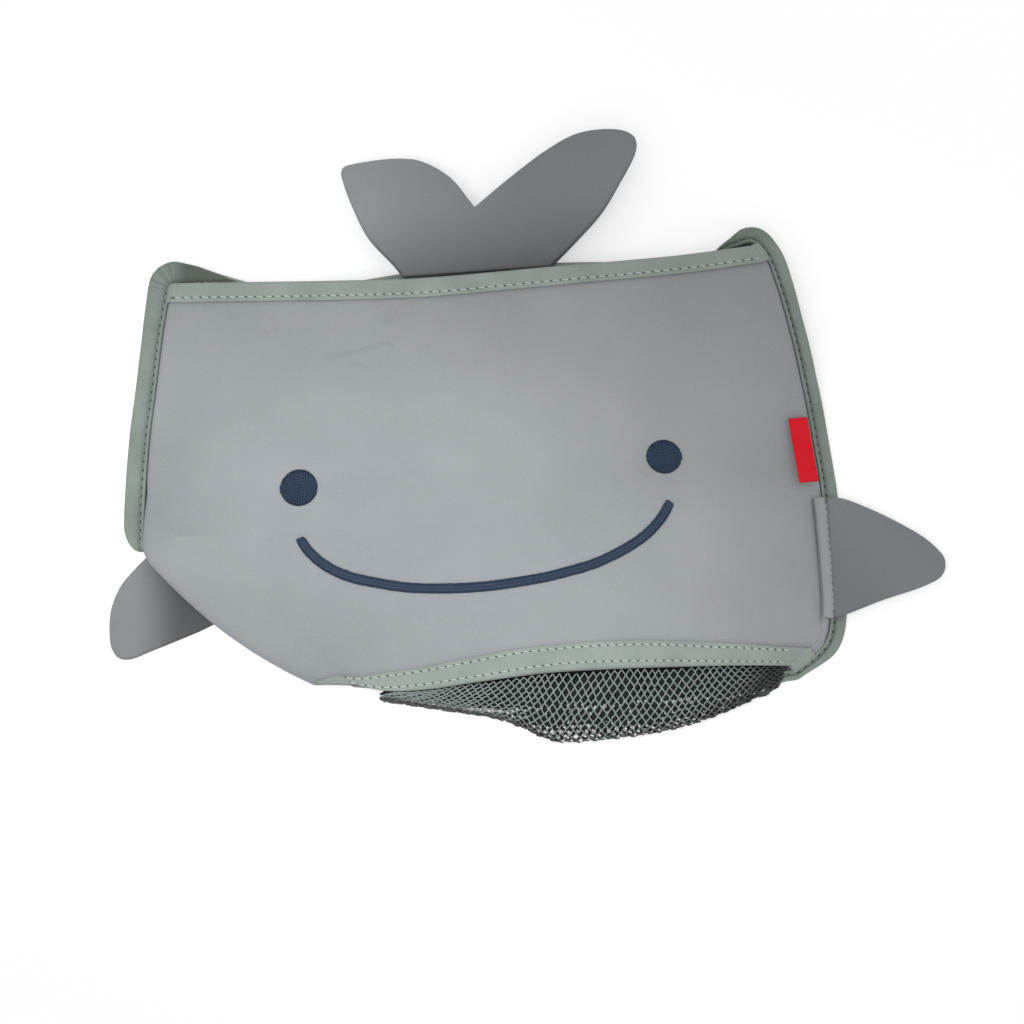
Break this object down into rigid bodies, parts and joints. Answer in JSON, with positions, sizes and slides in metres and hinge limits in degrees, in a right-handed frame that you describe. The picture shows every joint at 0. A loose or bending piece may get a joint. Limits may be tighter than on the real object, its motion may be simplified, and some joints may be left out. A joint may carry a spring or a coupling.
{
  "type": "bath toy organizer",
  "caption": "Whale-shaped wall pouch with a wide open top, net bottom, tail flukes and side flippers, held up by suction cups, for draining and storing bath toys.",
  "frame": {"origin": "on the underside of the back panel, in the middle of the part that lies flat", "axes": "+X to the pouch's right as its front is seen, +Y towards the open top and the tail, +Z out of the front"},
  "size_m": [0.4207, 0.3136, 0.0369],
  "materials": {
    "neoprene": "grey knit face on neoprene foam",
    "tail_neoprene": "darker grey knit face on neoprene foam",
    "tape": "ribbed sage binding tape with light stitching",
    "net": "grey knitted net of diamond gaps",
    "thread": "slate blue satin embroidery",
    "label": "red woven ribbon",
    "cup": "clear soft vinyl",
    "eyelet": "grey moulded plastic"
  },
  "bodies": {
    "pouch": {"front_panel": "neoprene", "back_panel": "neoprene", "front_top_binding": "tape", "front_bottom_tape": "tape", "back_top_binding": "tape", "left_side_binding": "tape", "right_side_binding": "tape", "back_bottom_binding": "tape", "mesh_bottom": "net", "right_flipper_welt": "neoprene", "left_flipper_welt": "neoprene", "left_eye_embroidery": "thread", "right_eye_embroidery": "thread", "smile_embroidery": "thread", "eyelet_1": "eyelet", "eyelet_2": "eyelet", "eyelet_3": "eyelet", "eyelet_4": "eyelet"},
    "tail": {"tail_back_layer": "tail_neoprene", "tail_front_layer": "tail_neoprene"},
    "right_flipper": {"right_flipper_back_layer": "tail_neoprene", "right_flipper_front_layer": "tail_neoprene"},
    "left_flipper": {"left_flipper_back_layer": "tail_neoprene", "left_flipper_front_layer": "tail_neoprene"},
    "label": {"woven_label": "label"},
    "cup_1": {"suction_cup_1": "cup"},
    "cup_2": {"suction_cup_2": "cup"},
    "cup_3": {"suction_cup_3": "cup"},
    "cup_4": {"suction_cup_4": "cup"}
  },
  "joints": [
    {"name": "tail_fold", "type": "hinge", "parent": "pouch", "child": "tail", "pos_m": [0.006, 0.15263, 0.02147], "axis": [1, 0, 0], "range_deg": [0, 110]},
    {"name": "right_flipper_fold", "type": "hinge", "parent": "pouch", "child": "right_flipper", "pos_m": [0.17192, -0.00441, 0.01306], "axis": [-0.0219, -0.9998, 0], "range_deg": [0, 150]},
    {"name": "left_flipper_fold", "type": "hinge", "parent": "pouch", "child": "left_flipper", "pos_m": [-0.14481, 0.00924, 0.0051], "axis": [-0.6768, 0.7361, 0], "range_deg": [0, 25]},
    {"name": "label_flap", "type": "hinge", "parent": "pouch", "child": "label", "pos_m": [0.16468, 0.06672, 0.01499], "axis": [-0.0857, 0.9963, 0], "range_deg": [0, 160]},
    {"name": "cup_1_spin", "type": "hinge", "parent": "pouch", "child": "cup_1", "pos_m": [-0.10302, 0.1321, 0.005], "axis": [0, 0, 1], "continuous": true},
    {"name": "cup_2_spin", "type": "hinge", "parent": "pouch", "child": "cup_2", "pos_m": [-0.04131, 0.1321, 0.005], "axis": [0, 0, 1], "continuous": true},
    {"name": "cup_3_spin", "type": "hinge", "parent": "pouch", "child": "cup_3", "pos_m": [0.04131, 0.1321, 0.005], "axis": [0, 0, 1], "continuous": true},
    {"name": "cup_4_spin", "type": "hinge", "parent": "pouch", "child": "cup_4", "pos_m": [0.10302, 0.1321, 0.005], "axis": [0, 0, 1], "continuous": true}
  ]
}
